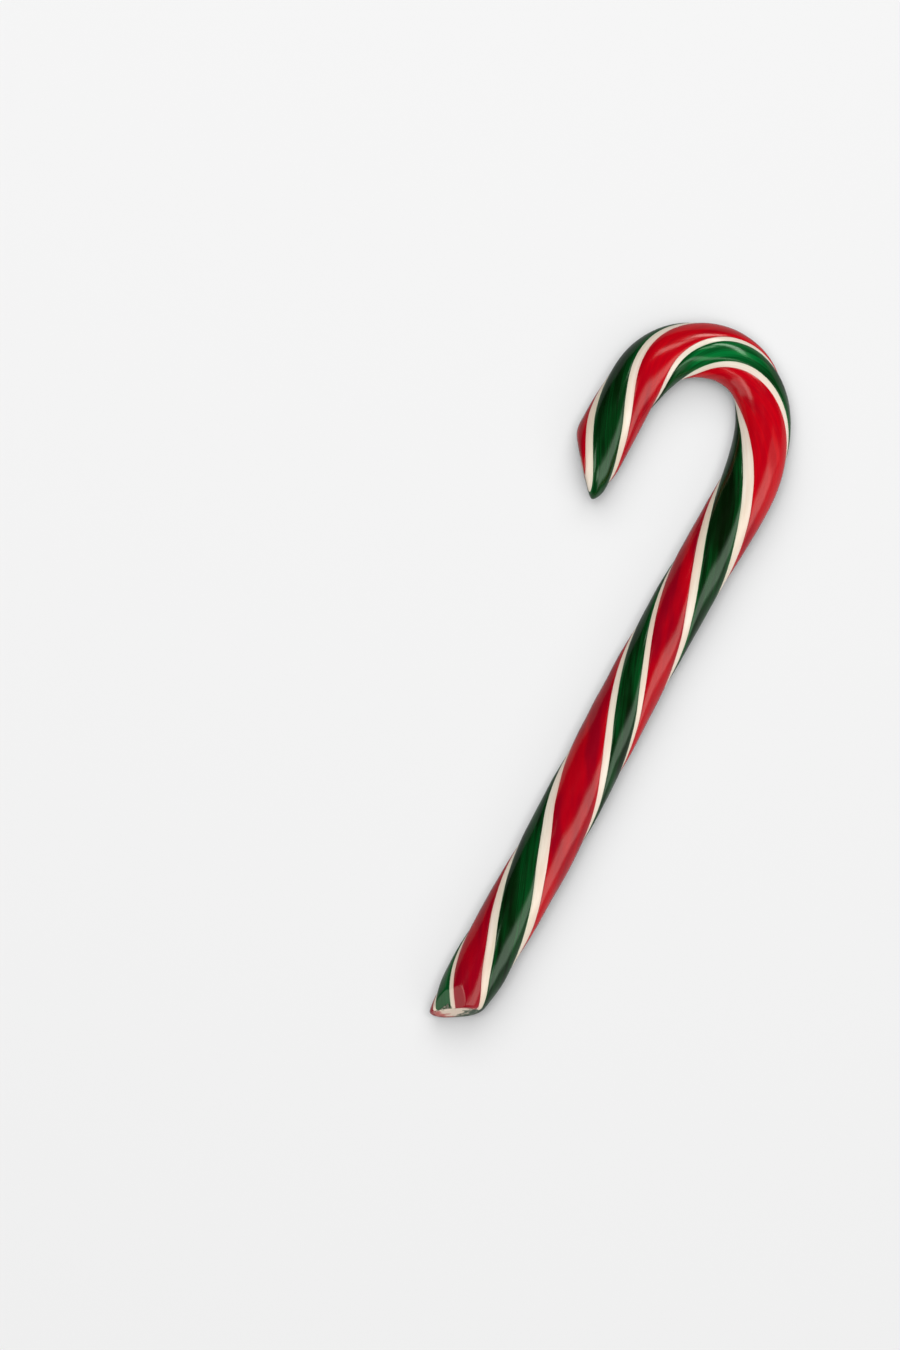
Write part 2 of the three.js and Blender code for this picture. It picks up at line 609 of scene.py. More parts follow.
class BandSweep:
    """The Geometry Nodes tree that carries a section along the rope, from cut to cut."""

    def __init__(self) -> None:
        """Builds the tree."""
        self.graph = Graph.group("sugar_band_sweep", "GeometryNodeTree")
        self.ask_for_sizes()
        graph = self.graph
        self.line = self.geometry_of("Middle Line")
        mesh = self.lay_grid()
        mesh = self.settle_distance(mesh)
        distance = self.number("distance")
        mesh = self.store(mesh, "pull", self.pulled_place(distance), "FLOAT_VECTOR")
        place = graph.scaled(self.place_at(distance), MM)
        sockets = {"Geometry": mesh, "Position": place}
        mesh = graph.add("GeometryNodeSetPosition", sockets)["Geometry"]
        sockets = {"Geometry": mesh, "Distance": MERGE_DISTANCE}
        mesh = graph.add("GeometryNodeMergeByDistance", sockets)["Geometry"]
        mesh = graph.add("GeometryNodeSetShadeSmooth", {"Geometry": mesh})["Geometry"]
        mesh = graph.add("GeometryNodeRealizeInstances", {"Geometry": mesh})["Geometry"]
        sockets = {"Geometry": mesh, "Material": graph.given("Sugar")}
        graph.give("Geometry", graph.add("GeometryNodeSetMaterial", sockets)["Geometry"])

    def ask_for_sizes(self) -> None:
        """Gives the tree its named inputs."""
        graph = self.graph
        graph.ask("Section", "NodeSocketGeometry")
        graph.ask("Rows", "NodeSocketObject")
        graph.ask("Middle Line", "NodeSocketObject")
        graph.ask("Sugar", "NodeSocketMaterial")
        for name in ROPE_SIZES:
            graph.ask(name, "NodeSocketFloat")
        for part in ("Foot", "Tip"):
            for size in fields(ShearedEnd):
                graph.ask(f"{part} {size.name.title()}", "NodeSocketFloat")
        for size in fields(Facet):
            graph.ask(f"Facet {size.name.title()}", "NodeSocketFloat")
        graph.offer("Geometry", "NodeSocketGeometry")

    def geometry_of(self, name: str) -> Term:
        """Gives the geometry of the object that an input names."""
        return self.graph.add("GeometryNodeObjectInfo", {"Object": self.graph.given(name)})[
            "Geometry"
        ]

    def number(self, name: str) -> Term:
        """Reads a named number of the mesh."""
        node = self.graph.add("GeometryNodeInputNamedAttribute", {"Name": name}, data_type="FLOAT")
        return node["Attribute"]

    def store(self, mesh: Term, name: str, value: Term, kind: str = "FLOAT") -> Term:
        """Keeps a value on every vertex of a mesh under a name.

        Args:
            mesh: The mesh.
            name: The attribute's name.
            value: The value.
            kind: The attribute's data type.

        Returns:
            The mesh with its attribute.
        """
        sockets = {"Geometry": mesh, "Name": name, "Value": value}
        node = self.graph.add("GeometryNodeStoreNamedAttribute", sockets, data_type=kind)
        return node["Geometry"]

    def whole(self, operation: str, first: Value, second: Value) -> Term:
        """Adds an Integer Math node on two whole numbers."""
        sockets = {0: first, 1: second}
        return self.graph.add("FunctionNodeIntegerMath", sockets, operation=operation)["Value"]

    def lay_grid(self) -> Term:
        """Lays a grid with a column for each point of the section and a line for each row.

        Returns:
            The grid, whose vertices know the numbers of their section point and their row.
        """
        graph = self.graph
        section = graph.given("Section")
        rows = self.geometry_of("Rows")
        size = "GeometryNodeAttributeDomainSize"
        across = graph.add(size, {"Geometry": section})["Point Count"]
        along = graph.add(size, {"Geometry": rows})["Point Count"]
        columns = self.whole("ADD", across, 1)
        sockets = {"Vertices X": columns, "Vertices Y": along}
        mesh = graph.add("GeometryNodeMeshGrid", sockets)["Mesh"]
        index = graph.add("GeometryNodeInputIndex")["Index"]
        column = self.whole("MODULO", self.whole("DIVIDE_FLOOR", index, along), across)
        line = self.whole("MODULO", index, along)
        for names, source, place in (
            (SECTION_NUMBERS, section, column),
            (ROW_NUMBERS, rows, line),
        ):
            for name in names:
                sockets = {"Geometry": source, "Value": self.number(name), "Index": place}
                sampled = graph.add("GeometryNodeSampleIndex", sockets)["Value"]
                mesh = self.store(mesh, name, sampled)
        return mesh

    def on_line(self, distance: Term, value: Term | None = None) -> Node:
        """Samples the middle line.

        Args:
            distance: The distance from the foot.
            value: What to read there, or None where only the place matters.

        Returns:
            The Sample Curve node.
        """
        sockets = {"Curves": self.line, "Length": distance + self.graph.given("Overrun")}
        if value is not None:
            sockets["Value"] = value
        return self.graph.add("GeometryNodeSampleCurve", sockets, mode="LENGTH")

    def girth_at(self, distance: Term) -> Term:
        """Gives the radius of the rope at a distance from the foot."""
        return self.on_line(distance, self.graph.add("GeometryNodeInputRadius")["Radius"])["Value"]

    def twist_at(self, distance: Term) -> Term:
        """Gives the angle of the first band's edge at a distance, in radians."""
        tilt = self.graph.add("GeometryNodeInputCurveTilt")["Tilt"]
        return self.on_line(distance, tilt)["Value"]

    def insides(self) -> tuple[tuple[str, Term], ...]:
        """Gives each end's name and the distance of the row from its cut."""
        row = self.number("row")
        return ("Foot", row), ("Tip", self.graph.given("Rope Length") - row)

    def size(self, part: str, name: str) -> Term:
        """Gives one size of an end or of the facet."""
        return self.graph.given(f"{part} {name}")

    def radians(self, part: str, name: str) -> Term:
        """Gives one angle of an end or of the facet, in radians."""
        return self.graph.math("RADIANS", self.size(part, name))

    def rounding(self, inside: Term, reach: Term) -> Term:
        """Gives the drop of a rounded edge, from 0 at its reach from the cut to 1 on the cut."""
        near = self.graph.share(inside, reach, 0.0)
        return 1.0 - self.graph.math("SQRT", 1.0 - near * near)

    def hand_at(self, band_angle: Term, distance: Term) -> Node:
        """Works out how far the hands that rolled the rope left it uneven.

        Args:
            band_angle: The point's angle round the rope, in radians.
            distance: Its distance from the foot.

        Returns:
            A node whose X is for the girth and whose Y is for the twist, both round 0.5.
        """
        graph = self.graph
        round_rope = (graph.math("COSINE", band_angle), graph.math("SINE", band_angle))
        place = graph.vector(*round_rope, distance * HAND_ALONG)
        sockets = {"Vector": place, "Scale": 1.0, "Detail": 1.0}
        noise = graph.add("ShaderNodeTexNoise", sockets)["Color"]
        return graph.add("ShaderNodeSeparateXYZ", {"Vector": noise})

    def squeeze_at(self, angle: Term) -> Squeeze:
        """Works out how the shears moved a point of the section.

        Args:
            angle: Its angle from the top of the rope, in radians, before they closed.

        Returns:
            What they did to it.
        """
        graph = self.graph
        squeeze = Squeeze(angle)
        for part, inside in self.insides():
            squeezed = graph.share(inside, self.size(part, "Squeezed"), 0.0)
            squeezed = squeezed * squeezed
            squeeze.wide = squeeze.wide - (1.0 - self.size(part, "Pinch")) * squeezed
            squeeze.high = squeeze.high - (1.0 - self.size(part, "Press")) * squeezed
            squeeze.shift = squeeze.shift + self.size(part, "Shift") * squeezed
            turned = graph.share(inside, self.size(part, "Turned"), 0.0)
            spread = self.radians(part, "Spread") * graph.math("SINE", squeeze.angle)
            turn = (self.radians(part, "Turn") + spread) * turned * turned
            squeeze.angle = squeeze.angle + turn
            rim = self.size(part, "Rim")
            squeeze.rim_loss = squeeze.rim_loss + self.rounding(inside, rim) * rim
            blunted = self.rounding(inside, self.size(part, "Blunted"))
            squeeze.blunt = squeeze.blunt + blunted * self.size(part, "Blunt")
        return squeeze

    def past_row(self, right: Term, above: Term) -> Term:
        """Works out how far past its row a point of a slanted, torn cut lies.

        Args:
            right: How far the point lies right of the middle line.
            above: How far it lies above it.

        Returns:
            The distance, towards the tip.
        """
        graph = self.graph
        past: Value = 0.0
        middle = 1.0 - graph.math("POWER", right / graph.given("Nominal Radius"), 2.0)
        for (part, inside), outward in zip(self.insides(), (-1.0, 1.0)):
            share = graph.share(inside, self.size(part, "Eased"), 0.0, "SMOOTHSTEP")
            slant = graph.math("TANGENT", self.radians(part, "Slant"))
            lean = graph.math("TANGENT", self.radians(part, "Lean"))
            dome = middle * self.size(part, "Dome") * outward
            past = past + share * (right * slant + above * lean + dome)
        broken = graph.share(self.number("fold"), 0.0, TORN_FOLD)
        torn = graph.noise(graph.scaled(self.pulled_place(0.0), TORN_SCALE), 2.0, 0.6)
        return past + (torn - 0.5) * broken * graph.given("Chatter")

    def section_at(self, distance: Term) -> tuple[Term, Term, Term]:
        """Works out where a point of the section lies.

        Args:
            distance: Its distance from the foot, measured along the middle line.

        Returns:
            How far it lies right of the middle line, above it, and past its row.
        """
        graph = self.graph
        band_angle = graph.math("RADIANS", self.number("band_angle"))
        hand = self.hand_at(band_angle, distance)
        wander = graph.math("RADIANS", graph.given("Wander"))
        angle = self.twist_at(distance) + band_angle + (hand["Y"] - 0.5) * 2.0 * wander
        squeeze = self.squeeze_at(angle)
        uneven = (hand["X"] - 0.5) * 2.0 * graph.given("Unevenness")
        girth = self.girth_at(distance) + uneven - squeeze.blunt
        open_radius = girth + (self.number("rise") - self.number("skin") * squeeze.rim_loss)
        radius = self.folded(open_radius, girth)
        right = radius * graph.math("SINE", squeeze.angle) * squeeze.wide + squeeze.shift
        above = radius * graph.math("COSINE", squeeze.angle) * squeeze.high
        return right, above, self.past_row(right, above)

    def folded(self, open_radius: Term, girth: Term) -> Term:
        """Draws a radius in towards where the section closes, on the rows of a cut face.

        Args:
            open_radius: The point's radius where the section is open.
            girth: The rope's radius there.

        Returns:
            The radius.
        """
        closed_radius = self.graph.math("MAXIMUM", girth + self.number("closing"), 0.0)
        return open_radius + self.number("fold") * (closed_radius - open_radius)

    def settle_distance(self, mesh: Term) -> Term:
        """Settles how far along the line each point of a slanted cut lies, in a repeat zone.

        Args:
            mesh: The grid.

        Returns:
            The grid with each vertex's distance from the foot.
        """
        graph = self.graph
        mesh = self.store(mesh, "distance", self.number("row"))
        start = graph.add("GeometryNodeRepeatInput")
        end = graph.add("GeometryNodeRepeatOutput")
        start.node.pair_with_output(end.node)
        graph.feed(start.node, "Iterations", CUT_PASSES)
        graph.feed(start.node, "Geometry", mesh)
        past = self.section_at(self.number("distance"))[2]
        settled = self.store(start["Geometry"], "distance", self.number("row") + past)
        graph.feed(end.node, "Geometry", settled)
        return end["Geometry"]

    def pulled_place(self, distance: Value) -> Term:
        """Gives a point's place in the straight rope, before it was twisted and bent.

        Args:
            distance: Its distance from the foot.

        Returns:
            The place, along the rope in Z.
        """
        graph = self.graph
        angle = graph.math("RADIANS", self.number("band_angle"))
        nominal = graph.given("Nominal Radius")
        radius = self.folded(nominal + self.number("rise"), nominal)
        return graph.vector(
            radius * graph.math("COSINE", angle), radius * graph.math("SINE", angle), distance
        )

    def facet_at(self, distance: Term, right: Term) -> Term:
        """Works out how high the facet on the foot lies.

        Args:
            distance: The point's distance from the foot.
            right: How far it lies right of the middle line.

        Returns:
            The facet's height above the middle line there.
        """
        graph = self.graph
        bearing = self.radians("Facet", "Bearing")
        along = (distance - self.size("Facet", "Along")) * graph.math("COSINE", bearing)
        across = (right - self.size("Facet", "Right")) * graph.math("SINE", bearing)
        slope = graph.math("TANGENT", self.radians("Facet", "Slope"))
        return self.size("Facet", "Height") + (along + across) * slope

    def place_at(self, distance: Term) -> Term:
        """Works out where each vertex goes.

        Args:
            distance: Its distance from the foot.

        Returns:
            The place, in millimetres.
        """
        graph = self.graph
        right, above, _ = self.section_at(distance)
        soft = self.size("Facet", "Softness")
        above = graph.math("SMOOTH_MIN", above, self.facet_at(distance, right), soft)
        axis_height = self.girth_at(distance) - graph.given("Sink") - graph.given("Flat Depth")
        soft = graph.given("Flat Softness")
        height = graph.math("SMOOTH_MAX", axis_height + above, 0.0, soft)
        line = self.on_line(distance)
        sideways = graph.vector_math("CROSS_PRODUCT", line["Tangent"], UP)
        place = graph.vector_math("ADD", line["Position"], graph.scaled(sideways, right))
        return graph.vector_math("ADD", place, graph.scaled(UP, height))


# --- Sections and rows ---------------------------------------------------------------------------


@dataclass(frozen=True)
class SectionPoint:
    """A point of a section: where it lies, and what the tree has to know of it."""

    band_angle: float
    rise: float  # how far it stands over the rope's girth
    skin: float  # 1 on the surface and 0 inside, so that only the surface rounds off at a cut
    closing: float  # rise at which the section closes on the cut face
    edge: float  # distance to the nearest edge of its band
    red_edge: float = 99.0
    green_edge: float = 99.0


@dataclass(frozen=True)
class Row:
    """A row of vertices: its distance from the foot, and how far the cut face is closed there."""

    row: float
    fold: float


def point_cloud(
    name: str, points: list[SectionPoint] | list[Row], names: tuple[str, ...]
) -> bpy.types.Object:
    """Makes an object of loose vertices that carry numbers.

    Args:
        name: The object's name.
        points: The points, each with an attribute for every name.
        names: The names of the numbers.

    Returns:
        The object.
    """
    mesh = bpy.data.meshes.new(name)
    mesh.from_pydata([(float(number), 0.0, 0.0) for number in range(len(points))], [], [])
    for number_name in names:
        attribute = mesh.attributes.new(number_name, "FLOAT", "POINT")
        attribute.data.foreach_set("value", [getattr(point, number_name) for point in points])
    cloud = bpy.data.objects.new(name, mesh)
    bpy.context.scene.collection.objects.link(cloud)
    return cloud


@dataclass(frozen=True)
class SectionMaker:
    """Draws the loops of points that the tree sweeps."""

    relief: Relief
    bands: tuple[Band, ...]

    def millimetres(self, angle: float) -> float:
        """Turns an angle round the rope into a length."""
        return math.radians(angle) * self.relief.nominal_radius

    def surface_rise(self, band: Band, share: float) -> float:
        """Gives how far the surface of a band stands over the girth.

        Args:
            band: The band.
            share: The place across it, from 0 to 1.

        Returns:
            The rise: even on white, and bulging on a stripe.
        """
        relief = self.relief
        if band.sugar is Sugar.WHITE:
            return -relief.sink
        return relief.crown - (relief.crown + relief.sink) * (2 * share - 1) ** relief.bulge

    def band_angles(self, band: Band, step: float) -> list[float]:
        """Gives the angles across a band, its rounded corners included.

        Args:
            band: The band.
            step: Greatest angle between two points.

        Returns:
            Angles from the band's edge, from 0 to its width.
        """
        relief = self.relief
        corner = math.degrees(relief.corner / relief.nominal_radius)
        turns = [math.pi / 2 * part / relief.corner_steps for part in range(relief.corner_steps)]
        rounded = [corner * (1 - math.cos(turn)) for turn in turns]
        inner = band.width - 2 * corner
        count = max(2, round(inner / step))
        middle = [corner + inner * part / count for part in range(count + 1)]
        return rounded + middle + [band.width - angle for angle in reversed(rounded)]

    def corner_loss(self, band: Band, angle: float) -> float:
        """Gives how far a band's rounded corner lies under its surface.

        Args:
            band: The band.
            angle: The place, in degrees from the band's edge.

        Returns:
            The drop, which is 0 away from the corners.
        """
        relief = self.relief
        near = min(self.millimetres(min(angle, band.width - angle)) / relief.corner, 1.0)
        return relief.corner * (1 - math.sqrt(1 - (1 - near) ** 2))

    def top_point(self, band: Band, start: float, angle: float, **more: float) -> SectionPoint:
        """Makes a point of a band's surface.

        Args:
            band: The band.
            start: The band's edge, in degrees round the rope.
            angle: The point's angle from that edge.
            more: Numbers that only some sections have.

        Returns:
            The point.
        """
        rise = self.surface_rise(band, angle / band.width) - self.corner_loss(band, angle)
        edge = self.millimetres(min(angle, band.width - angle))
        return SectionPoint(start + angle, rise, 1.0, edge=edge, **more)

    def stripe_loop(self, band: Band, start: float) -> list[SectionPoint]:
        """Draws a stripe's section: its surface, and back along its floor.

        Args:
            band: The stripe.
            start: Its edge, in degrees round the rope.

        Returns:
            The loop.
        """
        floor = -self.relief.stripe_depth
        top, bottom = [], []
        for angle in self.band_angles(band, self.relief.shown_step):
            surface = self.surface_rise(band, angle / band.width)
            closing = (surface + floor) / 2
            point = self.top_point(band, start, angle, closing=closing)
            top.append(point)
            bottom.append(SectionPoint(start + angle, surface + floor, 0.0, closing, point.edge))
        return top + bottom[::-1]

    def core_loop(self) -> list[SectionPoint]:
        """Draws the core's section: white bands, with a groove under each stripe between them.

        Returns:
            The loop.
        """
        relief = self.relief
        points = []
        start = 0.0
        centre = -2 * relief.nominal_radius  # lower than the middle line, which stops it at 0
        for number, band in enumerate(self.bands):
            before = self.bands[number - 1].sugar
            after = self.bands[(number + 1) % len(self.bands)].sugar
            white = band.sugar is Sugar.WHITE
            for angle in self.band_angles(band, relief.shown_step if white else relief.hidden_step):
                if white:
                    sides = {before: angle, after: band.width - angle}
                    edges = {sugar: self.millimetres(side) for sugar, side in sides.items()}
                    points.append(
                        self.top_point(
                            band,
                            start,
                            angle,
                            closing=centre,
                            red_edge=edges.get(Sugar.RED, SectionPoint.red_edge),
                            green_edge=edges.get(Sugar.GREEN, SectionPoint.green_edge),
                        )
                    )
                else:
                    floor = self.surface_rise(band, angle / band.width) - relief.stripe_depth
                    points.append(SectionPoint(start + angle, floor, 0.0, centre, 0.0))
            start += band.width
        return points

    def rows(self, length: float, foot: ShearedEnd, tip: ShearedEnd) -> list[Row]:
        """Lays out the rows from the middle of the foot's cut face to the middle of the tip's.

        Args:
            length: The rope's length.
            foot: The cut that it starts from.
            tip: The cut that it ends at.

        Returns:
            The rows.
        """
        relief = self.relief
        cap = [Row(0.0, 1 - part / relief.cap_rows) for part in range(relief.cap_rows)]
        turns = [math.pi / 2 * part / relief.rim_rows for part in range(relief.rim_rows)]
        start, end = (
            cap + [Row(rim * (1 - math.cos(turn)), 0.0) for turn in turns]
            for rim in (foot.rim, tip.rim)
        )
        side_length = length - foot.rim - tip.rim
        count = round(side_length / relief.row_step)
        side = [Row(foot.rim + side_length * part / count, 0.0) for part in range(count + 1)]
        return start + side + [Row(length - row.row, row.fold) for row in reversed(end)]


# --- Materials -----------------------------------------------------------------------------------

# Scales of the noises: how often they change, per millimetre across and along the pull.
STRAND_ALONG = 0.045
CLOUD_SCALES = (0.28, 0.28, 0.06)
SEAM_SCALES = (1.4, 1.4, 0.22)
SMEAR_SCALES = (0.55, 0.55, 0.0)
FINE_STRANDS = 3.1  # times as many as the coarse ones

# The same for the noises of the skin, per metre.
DIMPLE_SCALE = 190.0
WORN_SCALE = 700.0
GRAIN_SCALE = 2600.0

# Values of a noise between which its effect goes from none to full.
STRAND_RANGE = (0.4, 0.62)
CLOUD_RANGE = (0.36, 0.64)
WORN_RANGE = (0.35, 0.7)
CRUSHED_RANGE = (0.1, 0.7)

STRAND_HEIGHT = 0.016  # of the height of the skin
SKIN_DEPTH = 0.0001  # metres
GRAIN_HEIGHT = 0.005
BROKEN_GRAIN_HEIGHT = 0.3
WORN_DULLNESS = 0.05
BROKEN_DULLNESS = 0.22
SMEAR_PATCHINESS = 1.6
SMEAR_EDGE = 0.34  # width of its soft edge, as a share of the radius

BROKEN_FOLD = 0.12  # fold at which the cut face looks broken in full
SMEARED_FOLD = 0.02  # fold at which smears begin in full
FOOT_PAINTED_SHADE = (22.0, 4.0)  # distances from the foot at which the painted shade near the foot begins, and is full
NARROW_GREEN_FROM = (180.0, 220.0)  # band angles between which the narrow green stripe begins
# how far painted light lifts the narrow green stripe near the foot
NARROW_GREEN_PAINTED_LIGHT = 0.3
SEAM_LINE = 0.1
SEAM_STRIP = 1.1
SEAM_STRENGTH = 0.5
STAIN_LINE = 0.16
STAIN_STRIP = 0.9
STAIN_LINE_STRENGTH = 0.4
STAIN_STRIP_STRENGTH = 0.32


@dataclass(frozen=True)
class SugarFinish:
    """Colours and gloss of one sugar."""

    sugar: Sugar
    deep: Colour  # where it is thick or dense, and where shade is painted near the foot
    body: Colour
    bright: Colour  # where it is thin or full of air, and where a glow is painted in the crook and light is painted near the foot
    seam: Colour  # the thin line along its edge
    crushed: Colour  # where the shears broke it
    strands: float  # strands per millimetre across the pull
    streaks: float  # how strong they are
    glow: float  # how much brighter the painted glow in the crook makes it
    stretch: tuple[float, float, float, float]  # distances where that starts, is full, and ends
    thinning: float  # how much brighter it is near its edge
    roughness: float
    gleam: Colour  # tint of its highlights
    seed: float


FINISHES = (
    SugarFinish(
        sugar=Sugar.WHITE,
        deep=(0.77, 0.63, 0.495),
        body=(0.82, 0.70, 0.572),
        bright=(0.88, 0.80, 0.70),
        seam=(0.62, 0.42, 0.33),
        crushed=(0.78, 0.62, 0.50),
        strands=1.1,
        streaks=0.55,
        glow=0.3,
        stretch=(126.0, 150.0, 180.0, 200.0),
        thinning=0.0,
        roughness=0.22,
        gleam=(1.0, 0.97, 0.92),
        seed=3.7,
    ),
    SugarFinish(
        sugar=Sugar.RED,
        deep=(0.275, 0.0, 0.009),
        body=(0.42, 0.0, 0.007),
        bright=(0.62, 0.0, 0.006),
        seam=(0.16, 0.0, 0.003),
        crushed=(0.60, 0.19, 0.16),
        strands=0.7,
        streaks=0.12,
        glow=0.6,
        stretch=(120.0, 142.0, 180.0, 196.0),
        thinning=0.1,
        roughness=0.16,
        gleam=(1.0, 0.74, 0.66),
        seed=11.3,
    ),
    SugarFinish(
        sugar=Sugar.GREEN,
        deep=(0.0012, 0.006, 0.0005),
        body=(0.0010, 0.024, 0.003),
        bright=(0.001, 0.16, 0.030),
        seam=(0.001, 0.006, 0.001),
        crushed=(0.035, 0.085, 0.045),
        strands=1.5,
        streaks=0.22,
        glow=0.95,
        stretch=(156.0, 164.0, 171.0, 179.0),
        thinning=0.14,
        roughness=0.16,
        gleam=(0.74, 1.0, 0.74),
        seed=23.9,
    ),
)


@dataclass(frozen=True)
class Smear:
    """Colour of a band that the shears dragged over the white of the cut."""

    bearing: float  # where its band lies, in degrees round the rope
    reach: float  # how near the middle it gets, as a share of the radius
    colour: Colour


SMEARS = (
    Smear(45.0, 0.16, (0.03, 0.065, 0.035)),
    Smear(168.0, 0.3, (0.50, 0.10, 0.085)),
    Smear(250.0, 0.62, (0.16, 0.22, 0.14)),
    Smear(325.0, 0.7, (0.55, 0.15, 0.12)),
)


@dataclass(frozen=True)
class Stain:
    """Colour that bled into the white from the bands of one sugar beside it."""

    edge: str  # the number of the mesh that gives the distance to them
    colour: Colour


STAINS = (Stain("red_edge", (0.80, 0.42, 0.36)), Stain("green_edge", (0.56, 0.62, 0.44)))


@dataclass(frozen=True)
class SugarEffects:
    """The shader groups that the three sugars share."""

    pulled: Graph
    # mask of the glow painted in the crook
    bend: Graph
    seam: Graph
    skin: Graph
    smear: Graph

    @classmethod
    def build(cls) -> SugarEffects:
        """Builds every group."""
        return cls(
            cls.pulled_sugar(),
            cls.bend_glow(),
            cls.band_seam(),
            cls.worked_skin(),
            cls.shear_smear(),
        )

    @staticmethod
    def pulled_sugar() -> Graph:
        """Makes the strands and clouds that pulling leaves along the rope.

        Returns:
            A group that gives the strands, the clouds and the height of the strands.
        """
        graph = Graph.group("pulled_sugar")
        graph.ask("Strands", "NodeSocketFloat", 1.0)
        graph.ask("Seed", "NodeSocketFloat", 0.0)
        for name in ("Strand", "Cloud", "Height"):
            graph.offer(name, "NodeSocketFloat")
        pull = graph.add("ShaderNodeAttribute", attribute_name="pull")["Vector"]
        seed = graph.given("Seed")
        strands = graph.given("Strands")
        stretched = graph.vector(strands, strands, STRAND_ALONG)
        place = graph.vector_math("MULTIPLY", pull, stretched)
        moved = graph.vector_math("ADD", place, graph.vector(seed, 0.0, seed))
        coarse = graph.noise(moved, 3.0, 0.6)
        fine = graph.noise(graph.scaled(place, FINE_STRANDS), 2.0)
        strand = graph.share(coarse * 0.7 + fine * 0.3, *STRAND_RANGE, "SMOOTHSTEP")
        place = graph.vector_math("MULTIPLY", pull, CLOUD_SCALES)
        cloud = graph.noise(graph.vector_math("ADD", place, graph.vector(seed, seed, 0.0)), 2.0)
        graph.give("Strand", strand)
        graph.give("Cloud", graph.share(cloud, *CLOUD_RANGE, "SMOOTHSTEP"))
        graph.give("Height", fine * 0.6 + strand * 0.4)
        return graph

    @staticmethod
    def bend_glow() -> Graph:
        """Makes the mask of the crook, where a glow is painted on the sugar.

        Returns:
            A group that gives the mask.
        """
        graph = Graph.group("bend_glow")
        for name in ("From", "Full From", "Full To", "To"):
            graph.ask(name, "NodeSocketFloat")
        graph.offer("Share", "NodeSocketFloat")
        distance = graph.read("distance")
        rising = graph.share(distance, graph.given("From"), graph.given("Full From"), "SMOOTHSTEP")
        falling = graph.share(distance, graph.given("To"), graph.given("Full To"), "SMOOTHSTEP")
        graph.give("Share", rising * falling)
        return graph

    @staticmethod
    def band_seam() -> Graph:
        """Makes the masks of a band's edge.

        Returns:
            A group that gives the thin line at the edge and the wider strip beside it.
        """
        graph = Graph.group("band_seam")
        graph.ask("Distance", "NodeSocketFloat", 1.0)
        graph.ask("Line", "NodeSocketFloat", SEAM_LINE)
        graph.ask("Strip", "NodeSocketFloat", SEAM_STRIP)
        graph.offer("Line", "NodeSocketFloat")
        graph.offer("Strip", "NodeSocketFloat")
        pull = graph.add("ShaderNodeAttribute", attribute_name="pull")["Vector"]
        frayed = graph.noise(graph.vector_math("MULTIPLY", pull, SEAM_SCALES), 2.0)
        distance = graph.given("Distance")
        uneven = 0.5 + frayed
        graph.give("Line", graph.share(distance, graph.given("Line") * uneven, 0.0, "SMOOTHSTEP"))
        graph.give("Strip", graph.share(distance, graph.given("Strip") * uneven, 0.0, "SMOOTHSTEP"))
        return graph

    @staticmethod
    def worked_skin() -> Graph:
        """Makes the low dimples and the uneven gloss of sugar that was rolled by hand.

        Returns:
            A group that gives the height of the skin and how dull it is.
        """
        graph = Graph.group("worked_skin")
        graph.ask("Broken", "NodeSocketFloat", 0.0)
        graph.offer("Height", "NodeSocketFloat")
        graph.offer("Dullness", "NodeSocketFloat")
        place = graph.add("ShaderNodeTexCoord")["Object"]
        dimples = graph.noise(graph.scaled(place, DIMPLE_SCALE), 1.0)
        grains = graph.noise(graph.scaled(place, GRAIN_SCALE), 2.0, 0.6)
        worn = graph.noise(graph.scaled(place, WORN_SCALE), 3.0, 0.6)
        broken = graph.given("Broken")
        grain_height = GRAIN_HEIGHT + BROKEN_GRAIN_HEIGHT * broken
        graph.give("Height", dimples * 0.6 + grains * grain_height)
        dullness = graph.share(worn, *WORN_RANGE) * WORN_DULLNESS
        graph.give("Dullness", dullness + broken * BROKEN_DULLNESS)
        return graph

    @staticmethod
    def shear_smear() -> Graph:
        """Makes the mask of a band's colour that the shears dragged over the cut.

        Returns:
            A group that gives the mask.
        """
        graph = Graph.group("shear_smear")
        graph.ask("Bearing", "NodeSocketFloat", 0.0)
        graph.ask("Reach", "NodeSocketFloat", 0.5)
        graph.offer("Share", "NodeSocketFloat")
        pull = graph.add("ShaderNodeAttribute", attribute_name="pull")["Vector"]
        bearing = graph.math("RADIANS", graph.given("Bearing"))
        towards = graph.vector(graph.math("COSINE", bearing), graph.math("SINE", bearing), 0.0)
        dot = graph.add("ShaderNodeVectorMath", {0: pull, 1: towards}, operation="DOT_PRODUCT")
        patchy = graph.noise(graph.vector_math("MULTIPLY", pull, SMEAR_SCALES), 3.0, 0.6)
        place = dot["Value"] / Relief.nominal_radius + (patchy - 0.5) * SMEAR_PATCHINESS
        start = graph.given("Reach")
        graph.give("Share", graph.share(place, start, start + SMEAR_EDGE, "SMOOTHSTEP"))
        return graph


